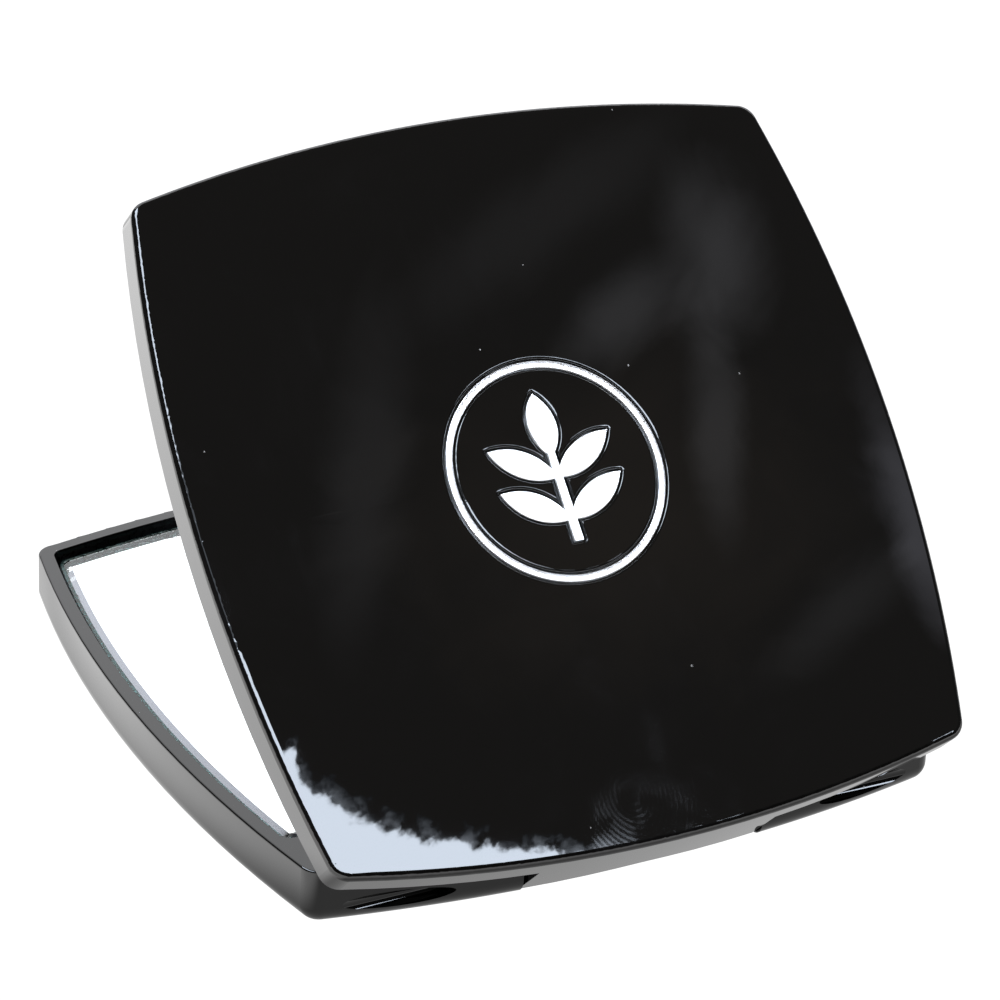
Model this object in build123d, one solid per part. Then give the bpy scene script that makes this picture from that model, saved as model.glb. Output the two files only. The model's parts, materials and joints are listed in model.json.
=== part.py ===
from build123d import *
import math
import os

# Square mirror compact, millimetres. Origin at the centre of the flat underside, +Z up,
# X along the hinge, hinge at +Y, latch at -Y. The lid is built shut and then turned open.

# Plan, shared by the base and the lid
HALF_WIDTH = 32.0            # centre to the middle of a bowed side
SIDE_BOW = 3.1               # how far a side bows out past its corners
CORNER_RADIUS = 1.8
SIDE_RADIUS = ((HALF_WIDTH - SIDE_BOW) ** 2 + SIDE_BOW ** 2) / (2 * SIDE_BOW)
SIDE_CENTRE = SIDE_RADIUS - HALF_WIDTH

# Heights
BASE_HEIGHT = 5.2
CLOSED_GAP = 0.1             # between the two rims when shut
LID_EDGE_HEIGHT = 3.3
LID_CROWN = 0.3              # rise of the lid's centre above the middle of its sides
MATING_PLANE = BASE_HEIGHT + CLOSED_GAP
LID_TOP = MATING_PLANE + LID_EDGE_HEIGHT + LID_CROWN

# Edge rounding
FOOT_RADIUS = 1.6
LID_TOP_RADIUS = 0.6
RIM_RADIUS = 0.2
SEAT_CORNER_RADIUS = 1.2

# Mirror seats, the same plan in both halves
RIM_WIDTH = 1.3
REAR_LAND_Y = 23.6           # front face of the hinge block
MIRROR_DROP = 0.55           # mirror face below the rim
MIRROR_GAP = 0.5             # around the glass
BASE_MIRROR_THICKNESS = 1.5
BASE_PAD_THICKNESS = 0.3
BEVEL_WIDTH = 0.8
BEVEL_DEPTH = 0.3
LID_MIRROR_THICKNESS = 1.3
LID_PAD_THICKNESS = 0.2
CONCAVE_DEPTH = 0.35         # hollow of the magnifying mirror at its centre
CONCAVE_REACH = 24.5         # radius where the hollow meets the flat margin
CONCAVE_CENTRE_Y = -2.2
PAD_INSET = 2.0              # pad edge inside the mirror edge

# Cored-out underside and its cover
BOTTOM_PLATE_THICKNESS = 0.9
BOTTOM_PLATE_INSET = 2.6
BOTTOM_PLATE_REAR = 25.4
PLATE_LEDGE = 1.2
CORE_DEPTH = 1.6
PLATE_FIT = 0.05

# Hinge
HINGE_Y = 30.2
HINGE_Z = 1.85
PIN_RADIUS = 0.75
PIN_INNER_END = 4.0
PIN_OUTER_END = 16.6
PIN_CHAMFER = 0.15
KNUCKLE_RUNNING_CLEARANCE = 0.04
KNUCKLE_HALF_LENGTH = 10.9
KNUCKLE_RADIUS = HALF_WIDTH - HINGE_Y
KNUCKLE_BORE_END = 3.7
KNUCKLE_WEB_FRONT = 1.2      # web's front face ahead of the axis
NOTCH_HALF_LENGTH = 11.1
NOTCH_CLEARANCE = 0.2
REAR_ROUND_RADIUS = BASE_HEIGHT - HINGE_Z
HINGE_AXIS = Axis((0, HINGE_Y, HINGE_Z), (1, 0, 0))
REST_OPENING = 43.8          # degrees from shut

# Snap latch at the front
BOSS_HALF_LENGTH = 4.6
BOSS_REAR_Y = -27.7
SLOT_HALF_LENGTH = 3.1
SLOT_FRONT_Y = -30.5
SLOT_REAR_Y = -28.9
SLOT_DEPTH = 2.2
CATCH_DEPTH = 0.4
CATCH_LIP = 0.9
HOOK_HALF_LENGTH = 2.8
HOOK_FRONT_Y = -30.1
HOOK_REAR_Y = -29.2
HOOK_LENGTH = 1.9
BARB_REACH = 0.3
BARB_HEIGHT = 0.8
SCOOP_RADIUS = 1.2
SCOOP_DEPTH = 0.5
SCOOP_HALF_LENGTH = 6.0

# Emblem let into the lid
EMBLEM_INLAY = 0.3
EMBLEM_PROUD = 0.03
EMBLEM_GAP = 0.15            # black margin round the metal
EMBLEM_LIP_RADIUS = 0.24     # rounding of the lid down into that margin
RING_OUTER_RADIUS = 9.64
RING_WIDTH = 0.6
STEM_WIDTH = 0.9
STEM_BOTTOM = 6.2
STEM_TOP = -2.0
END_LEAF_ROOT = -1.2
END_LEAF = (5.6, 2.6)        # length, width
SIDE_LEAF = (6.4, 2.3)
SIDE_LEAF_ANGLE = 60.0
SIDE_LEAF_ROOTS = (4.3, 0.6)

# Cutting solids reach this far past the object
OVERSHOOT = 5.0
REACH = HALF_WIDTH + OVERSHOOT
TINY = 0.001


def span_box(x0, x1, y0, y1, z0, z1):
    """Box between two corners."""
    size = Box(x1 - x0, y1 - y0, z1 - z0)
    return Pos((x0 + x1) / 2, (y0 + y1) / 2, (z0 + z1) / 2) * size


def cylinder_along_x(radius, x0, x1, y, z):
    """Cylinder with its axis along X."""
    bar = Cylinder(radius, x1 - x0)
    return Pos((x0 + x1) / 2, y, z) * Rot(0, 90, 0) * bar


def bowed_square(inset=0.0):
    """Square plan with four bowed sides, the given distance inside the outline."""
    radius = SIDE_RADIUS - inset
    corner = (math.sqrt(2 * radius ** 2 - SIDE_CENTRE ** 2) - SIDE_CENTRE) / 2
    middle = HALF_WIDTH - inset
    right = ThreePointArc((corner, -corner), (middle, 0), (corner, corner))
    rear = ThreePointArc((corner, corner), (0, middle), (-corner, corner))
    left = ThreePointArc((-corner, corner), (-middle, 0), (-corner, -corner))
    front = ThreePointArc((-corner, -corner), (0, -middle), (corner, -corner))
    plan = make_face([right, rear, left, front])
    return fillet(plan.vertices(), max(CORNER_RADIUS - inset, SEAT_CORNER_RADIUS))


def bowed_slab(inset, z0, z1):
    """The bowed plan carried from z0 up to z1."""
    return Pos(0, 0, z0) * extrude(bowed_square(inset), z1 - z0)


def seat_slab(gap, z0, z1):
    """Slab with the plan of a mirror seat: stops at the hinge block and the latch boss."""
    slab = bowed_slab(RIM_WIDTH + gap, z0, z1)
    slab -= span_box(-REACH, REACH, REAR_LAND_Y - gap, REACH, z0, z1)
    rear_corners = slab.edges().filter_by(Axis.Z).group_by(Axis.Y)[-1]
    slab = fillet(rear_corners, SEAT_CORNER_RADIUS)
    boss = BOSS_HALF_LENGTH + gap
    return slab - span_box(-boss, boss, -REACH, BOSS_REAR_Y + gap, z0, z1)


def turn_open(shape):
    """Turn a shut lid piece to the opening at which the compact rests."""
    return shape.rotate(HINGE_AXIS, -REST_OPENING)


def base_outer():
    """Solid outer form of the base: rounded foot, crisp rim."""
    body = bowed_slab(0, 0, BASE_HEIGHT)
    foot_edges = body.faces().sort_by(Axis.Z)[0].edges()
    body = fillet(foot_edges, FOOT_RADIUS)
    rim_edges = body.faces().sort_by(Axis.Z)[-1].edges()
    return fillet(rim_edges, RIM_RADIUS)


def rear_edge_cutter():
    """What is taken off the base's rear top edge so that the lid can swing past it."""
    block = span_box(-REACH, REACH, HINGE_Y, REACH, HINGE_Z, BASE_HEIGHT + OVERSHOOT)
    return block - cylinder_along_x(REAR_ROUND_RADIUS, -REACH, REACH, HINGE_Y, HINGE_Z)


def latch_slot_cutter():
    """Slot in the base's latch boss, with the undercut that the hook snaps into."""
    floor = BASE_HEIGHT - SLOT_DEPTH
    half = SLOT_HALF_LENGTH
    slot = span_box(-half, half, SLOT_FRONT_Y, SLOT_REAR_Y, floor, BASE_HEIGHT + OVERSHOOT)
    front = SLOT_FRONT_Y - CATCH_DEPTH
    undercut = span_box(-half, half, front, SLOT_REAR_Y, floor, BASE_HEIGHT - CATCH_LIP)
    return slot + undercut


def finger_scoop_cutter():
    """Shallow scoop in the front wall for a fingertip, with round ends."""
    y = -HALF_WIDTH + SCOOP_DEPTH - SCOOP_RADIUS
    half = SCOOP_HALF_LENGTH
    scoop = cylinder_along_x(SCOOP_RADIUS, -half, half, y, BASE_HEIGHT)
    for side in (-1, 1):
        scoop += Pos(side * half, y, BASE_HEIGHT) * Sphere(SCOOP_RADIUS)
    return scoop


def base_shell():
    """Moulded base with its mirror seat, cored underside, hinge ears and catch."""
    body = base_outer()
    seat_depth = MIRROR_DROP + BASE_MIRROR_THICKNESS + BASE_PAD_THICKNESS
    body -= seat_slab(0, BASE_HEIGHT - seat_depth, BASE_HEIGHT + OVERSHOOT)
    body -= bottom_recess(BOTTOM_PLATE_INSET, BOTTOM_PLATE_REAR, BOTTOM_PLATE_THICKNESS)
    body -= bottom_recess(BOTTOM_PLATE_INSET + PLATE_LEDGE, BOTTOM_PLATE_REAR - PLATE_LEDGE, CORE_DEPTH)
    body -= rear_edge_cutter()
    notch_front = HINGE_Y - KNUCKLE_RADIUS - NOTCH_CLEARANCE
    notch_top = BASE_HEIGHT + OVERSHOOT
    body -= span_box(-NOTCH_HALF_LENGTH, NOTCH_HALF_LENGTH, notch_front, REACH, -OVERSHOOT, notch_top)
    body -= cylinder_along_x(PIN_RADIUS, -REACH, REACH, HINGE_Y, HINGE_Z)
    body -= latch_slot_cutter()
    body -= finger_scoop_cutter()
    return body


def bottom_recess(inset, rear, depth):
    """Recess in the underside, open at z = 0."""
    slab = bowed_slab(inset, 0, depth)
    return slab - span_box(-REACH, REACH, rear, REACH, 0, depth)


def base_bottom_plate():
    """Cover flush with the underside."""
    inset = BOTTOM_PLATE_INSET + PLATE_FIT
    return bottom_recess(inset, BOTTOM_PLATE_REAR - PLATE_FIT, BOTTOM_PLATE_THICKNESS)


def base_mirror():
    """Flat glass with a wide shallow bevel round its face."""
    top = BASE_HEIGHT - MIRROR_DROP
    glass = seat_slab(MIRROR_GAP, top - BASE_MIRROR_THICKNESS, top)
    face = glass.faces().sort_by(Axis.Z)[-1]
    return chamfer(face.edges(), BEVEL_WIDTH, BEVEL_DEPTH, reference=face)


def base_mirror_pad():
    """Adhesive pad between the seat and the glass."""
    top = BASE_HEIGHT - MIRROR_DROP - BASE_MIRROR_THICKNESS
    return seat_slab(MIRROR_GAP + PAD_INSET, top - BASE_PAD_THICKNESS, top)


def hinge_pin(side):
    """Steel pin, side is +1 or -1."""
    low, high = sorted((side * PIN_INNER_END, side * PIN_OUTER_END))
    pin = cylinder_along_x(PIN_RADIUS, low, high, HINGE_Y, HINGE_Z)
    return chamfer(pin.edges().filter_by(GeomType.CIRCLE), PIN_CHAMFER)


def lid_outer():
    """Solid outer form of the shut lid: bowed plan under a shallow crown."""
    body = bowed_slab(0, MATING_PLANE, LID_TOP + OVERSHOOT)
    crown_radius = (HALF_WIDTH ** 2 + LID_CROWN ** 2) / (2 * LID_CROWN)
    body &= Pos(0, 0, LID_TOP - crown_radius) * Sphere(crown_radius)
    top_edges = body.faces().sort_by(Axis.Z)[-1].edges()
    body = fillet(top_edges, LID_TOP_RADIUS)
    rim_edges = body.faces().sort_by(Axis.Z)[0].edges()
    return fillet(rim_edges, RIM_RADIUS)


def lid_knuckle():
    """Hinge knuckle below the shut lid, flush with the rear wall and round under the axis."""
    half = KNUCKLE_HALF_LENGTH
    barrel = cylinder_along_x(KNUCKLE_RADIUS, -half, half, HINGE_Y, HINGE_Z)
    web_top = MATING_PLANE + LID_TOP_RADIUS
    web = span_box(-half, half, HINGE_Y - KNUCKLE_WEB_FRONT, REACH, HINGE_Z, web_top)
    return (barrel + web) & bowed_slab(0, -OVERSHOOT, web_top)


def knuckle_bore(side):
    """Blind bore for one pin, open at the knuckle's end."""
    low, high = sorted((side * KNUCKLE_BORE_END, side * REACH))
    return cylinder_along_x(PIN_RADIUS + KNUCKLE_RUNNING_CLEARANCE, low, high, HINGE_Y, HINGE_Z)


def lid_hook():
    """Snap hook below the shut lid's front rim, with its barb facing forward."""
    half = HOOK_HALF_LENGTH
    tip = MATING_PLANE - HOOK_LENGTH
    tongue = span_box(-half, half, HOOK_FRONT_Y, HOOK_REAR_Y, tip, MATING_PLANE + RIM_WIDTH)
    points = [(HOOK_FRONT_Y, tip), (HOOK_FRONT_Y - BARB_REACH, tip + BARB_HEIGHT / 2),
              (HOOK_FRONT_Y, tip + BARB_HEIGHT)]
    barb_face = make_face(Polyline(points, close=True))
    barb = Pos(-half, 0, 0) * extrude(Plane.YZ * barb_face, 2 * half, dir=(1, 0, 0))
    return tongue + barb


def lid_shell():
    """Moulded lid with its mirror seat, knuckle, hook and emblem recess."""
    body = lid_outer() + lid_knuckle()
    seat_depth = MIRROR_DROP + LID_MIRROR_THICKNESS + LID_PAD_THICKNESS
    body -= seat_slab(0, BASE_HEIGHT, MATING_PLANE + seat_depth)
    for side in (-1, 1):
        body -= knuckle_bore(side)
    body += lid_hook()
    return turn_open(cut_emblem_seats(body))


def lid_mirror():
    """Glass with a shallow round hollow, facing down when shut."""
    face_z = MATING_PLANE + MIRROR_DROP
    glass = seat_slab(MIRROR_GAP, face_z, face_z + LID_MIRROR_THICKNESS)
    radius = (CONCAVE_REACH ** 2 + CONCAVE_DEPTH ** 2) / (2 * CONCAVE_DEPTH)
    glass -= Pos(0, CONCAVE_CENTRE_Y, face_z + CONCAVE_DEPTH - radius) * Sphere(radius)
    return turn_open(glass)


def lid_mirror_pad():
    """Adhesive pad behind the lid's mirror."""
    low = MATING_PLANE + MIRROR_DROP + LID_MIRROR_THICKNESS
    return turn_open(seat_slab(MIRROR_GAP + PAD_INSET, low, low + LID_PAD_THICKNESS))


def emblem_ring_plan(gap=0.0):
    """Plan of the ring, grown by the gap on both sides."""
    inner = RING_OUTER_RADIUS - RING_WIDTH
    return Circle(RING_OUTER_RADIUS + gap) - Circle(inner - gap)


def leaf(length, width):
    """Leaf plan of two arcs, from the origin along -Y."""
    tip = (0, -length)
    one = ThreePointArc((0, 0), (width / 2, -length / 2), tip)
    other = ThreePointArc(tip, (-width / 2, -length / 2), (0, 0))
    return make_face([one, other])


def emblem_sprig_plan():
    """Plan of the leaf sprig: a stem, an end leaf and two pairs of side leaves."""
    stem_length = STEM_BOTTOM - STEM_TOP
    plan = Pos(0, (STEM_BOTTOM + STEM_TOP) / 2) * Rectangle(STEM_WIDTH, stem_length)
    plan += Pos(0, END_LEAF_ROOT) * leaf(*END_LEAF)
    for root in SIDE_LEAF_ROOTS:
        for side in (-1, 1):
            plan += Pos(0, root) * Rot(0, 0, side * SIDE_LEAF_ANGLE) * leaf(*SIDE_LEAF)
    return plan


def emblem_metal(plan):
    """Polished inlay with the given plan, on the shut lid."""
    return Pos(0, 0, LID_TOP - EMBLEM_INLAY) * extrude(plan, EMBLEM_INLAY + EMBLEM_PROUD)


def cut_emblem_seats(body):
    """Sink the seats of the ring and the sprig into the shut lid and round their edges."""
    sprig_seat = offset(emblem_sprig_plan().faces()[0], EMBLEM_GAP, kind=Kind.ARC)
    for plan in (emblem_ring_plan(EMBLEM_GAP), sprig_seat):
        body -= Pos(0, 0, LID_TOP - EMBLEM_INLAY) * extrude(plan, OVERSHOOT)
    disc = body.faces().filter_by(GeomType.SPHERE).sort_by(SortBy.AREA)[0]
    sprig_edges = disc.edges().sort_by(SortBy.LENGTH)[:-1]
    body = fillet(sprig_edges, EMBLEM_LIP_RADIUS)
    return fillet(ring_seat_edges(body), EMBLEM_LIP_RADIUS)


def ring_seat_edges(body):
    """The two circular edges where the crown meets the ring's seat."""
    seat_radii = (RING_OUTER_RADIUS + EMBLEM_GAP, RING_OUTER_RADIUS - RING_WIDTH - EMBLEM_GAP)
    crown = body.faces().filter_by(GeomType.SPHERE)
    circles = crown.edges().filter_by(GeomType.CIRCLE)
    return [edge for edge in circles if any(math.isclose(edge.radius, r, abs_tol=TINY) for r in seat_radii)]


def main():
    """Build every piece and write one STEP file for each."""
    os.makedirs("parts", exist_ok=True)
    pieces = {
        "base_shell": base_shell(),
        "base_bottom_plate": base_bottom_plate(),
        "base_mirror": base_mirror(),
        "base_mirror_pad": base_mirror_pad(),
        "hinge_pin_left": hinge_pin(1),
        "hinge_pin_right": hinge_pin(-1),
        "lid_shell": lid_shell(),
        "lid_mirror": lid_mirror(),
        "lid_mirror_pad": lid_mirror_pad(),
        "emblem_ring": turn_open(emblem_metal(emblem_ring_plan())),
        "emblem_sprig": turn_open(emblem_metal(emblem_sprig_plan())),
    }
    for name, shape in pieces.items():
        export_step(shape, "parts/" + name + ".step")


main()
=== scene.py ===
"""A slim square compact with a mirror in each half, standing half open in a small studio.

The moulded shells, the bottom cover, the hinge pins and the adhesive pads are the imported
model's own pieces, finished here. The two mirrors and the inlaid emblem are built here.
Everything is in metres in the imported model's frame; lengths in the classes are millimetres.
"""

from dataclasses import dataclass, field
from enum import Enum
import json
import logging
import math
from typing import Callable, Iterable, Optional, Sequence, Union

import bmesh
import bpy
from mathutils import Matrix, Vector, noise
from mathutils.geometry import tessellate_polygon


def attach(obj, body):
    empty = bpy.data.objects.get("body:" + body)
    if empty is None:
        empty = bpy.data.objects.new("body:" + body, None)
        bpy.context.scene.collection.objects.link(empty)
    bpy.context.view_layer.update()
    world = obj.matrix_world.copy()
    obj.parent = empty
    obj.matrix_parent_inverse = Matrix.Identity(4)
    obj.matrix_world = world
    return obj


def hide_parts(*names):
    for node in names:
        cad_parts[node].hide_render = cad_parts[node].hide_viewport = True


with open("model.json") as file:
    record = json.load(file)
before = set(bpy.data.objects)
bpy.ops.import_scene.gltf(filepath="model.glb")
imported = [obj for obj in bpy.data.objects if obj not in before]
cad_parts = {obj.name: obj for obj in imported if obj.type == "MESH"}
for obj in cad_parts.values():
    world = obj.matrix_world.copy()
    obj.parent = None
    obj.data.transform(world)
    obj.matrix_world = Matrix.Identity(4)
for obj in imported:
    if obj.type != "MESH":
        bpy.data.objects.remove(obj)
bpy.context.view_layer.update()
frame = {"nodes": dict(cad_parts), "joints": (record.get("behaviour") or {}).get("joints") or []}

log = logging.getLogger("compact")
MM = 0.001
PLASTIC_IOR = 1.46
GLASS_IOR = 1.52

Colour = tuple[float, float, float]
Point2 = tuple[float, float]
Point3 = tuple[float, float, float]
Loop = list[bmesh.types.BMVert]
Socket = bpy.types.NodeSocket
Value = Union[float, Sequence[float], Socket]


class Body(Enum):
    """The two bodies that the hinge joins."""

    BASE = "base"
    LID = "lid"


class Slot(Enum):
    """The record's material slots."""

    CASE = "black_case"
    COVER = "bottom_cover"
    GLASS = "mirror_glass"
    PAD = "adhesive_pad"
    PIN = "pin_steel"
    EMBLEM = "emblem_metal"


class Role(Enum):
    """What each of a mirror's mesh bands is made of."""

    SILVER = 0
    BEVEL = 1
    EDGE = 2
    BACK = 3
    ARRIS = 4


def add_object(name: str, data: bpy.types.ID) -> bpy.types.Object:
    """Make an object of some data and put it in the scene."""
    made = bpy.data.objects.new(name, data)
    bpy.context.scene.collection.objects.link(made)
    return made


def add_sheet(name: str, half_x: float, half_y: float) -> bpy.types.Object:
    """Make a flat rectangle about its own origin, in metres."""
    data = bpy.data.meshes.new(name)
    corners = [(-half_x, -half_y, 0), (half_x, -half_y, 0), (half_x, half_y, 0), (-half_x, half_y, 0)]
    data.from_pydata(corners, [], [(0, 1, 2, 3)])
    return add_object(name, data)


# ---- Shader building ----

class ShaderGraph:
    """A material's nodes, with short calls for the ones that the finishes share."""

    def __init__(self, name: str, shader: str = "ShaderNodeBsdfPrincipled") -> None:
        """Start a material.

        Args:
            name: the material's name.
            shader: the type of its surface shader.
        """
        self.material = bpy.data.materials.new(name)
        self.material.use_nodes = True
        self.tree = self.material.node_tree
        self.tree.nodes.clear()
        self.surface = self.tree.nodes.new(shader)
        output = self.tree.nodes.new("ShaderNodeOutputMaterial")
        self.tree.links.new(self.surface.outputs[0], output.inputs["Surface"])

    def put(self, socket: Socket, value: Value) -> None:
        """Link a socket to another, or set its own value."""
        if isinstance(value, bpy.types.NodeSocket):
            self.tree.links.new(value, socket)
        elif isinstance(value, (int, float)):
            socket.default_value = value
        else:
            numbers = tuple(value)
            if len(socket.default_value) == 4 and len(numbers) == 3:
                numbers = numbers + (1.0,)
            socket.default_value = numbers

    def node(self, kind: str, inputs: Optional[dict] = None, **settings) -> bpy.types.Node:
        """Add a node.

        Args:
            kind: the node's type without its ShaderNode prefix.
            inputs: socket names or indices, with values or sockets.
            **settings: the node's own properties.

        Returns:
            The node.
        """
        made = self.tree.nodes.new("ShaderNode" + kind)
        for key, value in settings.items():
            setattr(made, key, value)
        for key, value in (inputs or {}).items():
            self.put(made.inputs[key], value)
        return made

    def math(self, operation: str, a: Value, b: Value = 0.0, c: Value = 0.0) -> Socket:
        """Arithmetic on one to three numbers."""
        return self.node("Math", {0: a, 1: b, 2: c}, operation=operation).outputs[0]

    def vector(self, operation: str, a: Value, b: Value = (0.0, 0.0, 0.0)) -> bpy.types.Node:
        """Arithmetic on vectors."""
        return self.node("VectorMath", {0: a, 1: b}, operation=operation)

    def stretch(self, where: Socket, scale: Value) -> Socket:
        """Coordinates scaled along each axis."""
        return self.vector("MULTIPLY", where, scale).outputs[0]

    def scaled(self, vector: Value, factor: Value) -> Socket:
        """A vector or colour times a number."""
        made = self.vector("SCALE", vector)
        self.put(made.inputs["Scale"], factor)
        return made.outputs[0]

    def place_m(self) -> tuple[Socket, bpy.types.bpy_prop_collection]:
        """The surface point in the frame in metres, and its X, Y and Z."""
        place = self.node("NewGeometry").outputs["Position"]
        return place, self.node("SeparateXYZ", {"Vector": place}).outputs

    def specks(self, where: Socket, cell: float, radius: float) -> tuple[Socket, bpy.types.Node]:
        """Small round specks scattered at random.

        Args:
            where: the coordinates.
            cell: their mean distance.
            radius: their size.

        Returns:
            1 on a speck and 0 elsewhere, and the node that places them.
        """
        cells = self.node("TexVoronoi", {"Vector": where, "Scale": 1 / cell})
        return self.math("LESS_THAN", cells.outputs["Distance"], radius / cell), cells

    def fade(self, value: Value, start: float, end: float,
             low: Value = 0.0, high: Value = 1.0) -> Socket:
        """Run smoothly from low to high as a value goes from start to end.

        Args:
            value: what is compared.
            start: where the change begins.
            end: where it is complete; may be below start.
            low: result before start.
            high: result after end.

        Returns:
            The result.
        """
        made = self.node("MapRange", {"Value": value, "From Min": start, "From Max": end,
                                      "To Min": low, "To Max": high},
                         interpolation_type="SMOOTHSTEP")
        return made.outputs["Result"]

    def noise(self, where: Socket, scale: float, detail: float = 2.0, rough: float = 0.5,
              distortion: float = 0.0) -> Socket:
        """Fractal noise, about 0 to 1.

        Args:
            where: the coordinates.
            scale: features per unit of the coordinates.
            detail: octaves.
            rough: share of the finer octaves.
            distortion: how far the coordinates are stirred.

        Returns:
            The noise.
        """
        made = self.node("TexNoise", {"Vector": where, "Scale": scale, "Detail": detail,
                                      "Roughness": rough, "Distortion": distortion})
        return made.outputs["Fac"]

    def blend(self, factor: Value, a: Value, b: Value) -> Socket:
        """Mix two colours."""
        made = self.node("Mix", data_type="RGBA")
        self.put(made.inputs[0], factor)
        self.put(made.inputs[6], a)
        self.put(made.inputs[7], b)
        return made.outputs[2]

    def bump(self, height: Socket, depth_mm: float, strength: float = 1.0,
             normal: Optional[Socket] = None) -> Socket:
        """Turn a height into a normal.

        Args:
            height: 0 to 1.
            depth_mm: what 1 stands for.
            strength: how much of it is used.
            normal: the normal it adds to.

        Returns:
            The normal.
        """
        made = self.node("Bump", {"Height": height, "Distance": depth_mm * MM,
                                  "Strength": strength})
        if normal is not None:
            self.put(made.inputs["Normal"], normal)
        return made.outputs["Normal"]

    def place_mm(self, shut: Optional[Matrix] = None) -> Socket:
        """The surface point in millimetres.

        Args:
            shut: the move that takes the surface back to where it is with the lid shut.

        Returns:
            The point.
        """
        point = self.node("TexCoord").outputs["Object"]
        if shut is not None:
            point = self.node("Mapping", {"Vector": point, "Location": shut.to_translation(),
                                          "Rotation": shut.to_euler()}).outputs["Vector"]
        return self.scaled(point, 1 / MM)

    def set(self, **values: Value) -> None:
        """Set the surface shader's sockets; underscores stand for spaces."""
        for key, value in values.items():
            self.put(self.surface.inputs[key.replace("_", " ")], value)


# ---- Finishes ----

def start_finish(name: str, shut: Optional[Matrix] = None) -> tuple[ShaderGraph, Socket]:
    """A new material, and its surface point in millimetres with the lid shut."""
    graph = ShaderGraph(name)
    return graph, graph.place_mm(shut)


@dataclass(frozen=True)
class PrintSpot:
    """Where a fingertip has touched the gloss, in the shut compact's plan."""

    centre: Point2
    half_size: Point2
    turn_deg: float
    ridge_pitch: float = 0.46
    strength: float = 1.0
    whorl_below: float = 0.45
    whorl_squash: float = 0.78
    soft_from: float = 0.62


@dataclass(frozen=True)
class GlossBlack:
    """Piano-black moulding, handled: smears, fingerprints and dust."""

    name: str
    deep: Colour = (0.0021, 0.0019, 0.0018)
    grease: Colour = (0.012, 0.012, 0.014)
    dust: Colour = (0.30, 0.30, 0.31)
    polish: float = 0.012
    smear_rough: float = 0.055
    film_grease: float = 0.30
    print_rough: float = 0.16
    print_haze: float = 0.60
    print_bump_mm: float = 0.0006
    ridge_stir: float = 3.2
    smear_scale: float = 0.075
    streak_scale: float = 0.30
    ripple_scale: float = 0.55
    dust_cell: float = 3.2
    dust_radius: float = 0.10
    dust_share: float = 0.17
    dust_rough: float = 0.8
    ripple_mm: float = 0.0011
    prints: tuple[PrintSpot, ...] = ()

    def ridges(self, graph: ShaderGraph, where: Socket, spot: PrintSpot) -> Socket:
        """The greasy ridges of one fingerprint.

        Args:
            graph: the material.
            where: surface point in millimetres.
            spot: the print.

        Returns:
            0 on clean gloss to 1 on a ridge.
        """
        local = graph.node("Mapping", {"Vector": where, "Location": (*spot.centre, 0.0),
                                       "Rotation": (0.0, 0.0, math.radians(spot.turn_deg))},
                           vector_type="TEXTURE").outputs["Vector"]
        flat = graph.stretch(local, (1.0, 1.0, 0.0))
        size = (1 / spot.half_size[0], 1 / spot.half_size[1], 0.0)
        reach = graph.vector("LENGTH", graph.stretch(local, size))
        inside = graph.fade(reach.outputs["Value"], 1.0, spot.soft_from)
        below = spot.whorl_below * spot.half_size[1]
        whorl = graph.vector("ADD", flat, (0.0, below, 0.0)).outputs[0]
        wave = graph.node("TexWave", {"Vector": graph.stretch(whorl, (1.0, spot.whorl_squash, 0.0)),
                                      "Scale": math.pi / 10 / spot.ridge_pitch,
                                      "Distortion": self.ridge_stir, "Detail": 1.5,
                                      "Detail Scale": 0.35},
                          wave_type="RINGS", rings_direction="SPHERICAL").outputs["Fac"]
        patches = graph.fade(graph.noise(where, 0.38, 3.0), 0.36, 0.62)
        lines = graph.fade(wave, 0.35, 0.75, self.print_haze, 1.0)
        pressed = graph.math("MULTIPLY", inside, graph.fade(patches, 0.0, 1.0, 0.35, 1.0))
        return graph.math("MULTIPLY", graph.math("MULTIPLY", pressed, lines), spot.strength)

    def build(self, shut: Optional[Matrix] = None) -> bpy.types.Material:
        """Make the material.

        Args:
            shut: the move that takes the surface back to the shut compact's plan.

        Returns:
            The material.
        """
        graph, where = start_finish(self.name, shut)
        smear = graph.fade(graph.noise(where, self.smear_scale, 5.0, 0.62, 0.6), 0.50, 0.74)
        wipe = graph.stretch(where, (0.9, 0.22, 0.5))
        streak = graph.fade(graph.noise(wipe, self.streak_scale, 4.0, 0.6), 0.46, 0.72)
        film = graph.math("MULTIPLY", smear, graph.fade(streak, 0.0, 1.0, 0.35, 1.0))
        prints: Value = 0.0
        for spot in self.prints:
            prints = graph.math("MAXIMUM", self.ridges(graph, where, spot), prints)
        dots, cells = graph.specks(where, self.dust_cell, self.dust_radius)
        pick = graph.node("SeparateColor", {"Color": cells.outputs["Color"]}).outputs["Red"]
        specks = graph.math("MULTIPLY", dots, graph.math("LESS_THAN", pick, self.dust_share))
        greasy = graph.math("MAXIMUM", graph.math("MULTIPLY", film, self.film_grease), prints)
        colour = graph.blend(greasy, self.deep, self.grease)
        rough = graph.fade(film, 0.0, 1.0, self.polish, self.smear_rough)
        rough = graph.math("MAXIMUM", rough, graph.math("MULTIPLY", prints, self.print_rough))
        rough = graph.math("MAXIMUM", rough, graph.math("MULTIPLY", specks, self.dust_rough))
        graph.set(Base_Color=graph.blend(specks, colour, self.dust), Roughness=rough, IOR=PLASTIC_IOR)
        ripple = graph.bump(graph.noise(where, self.ripple_scale, 2.0), self.ripple_mm, 0.5)
        graph.set(Normal=graph.bump(prints, self.print_bump_mm, 0.5, ripple))
        return graph.material


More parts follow.
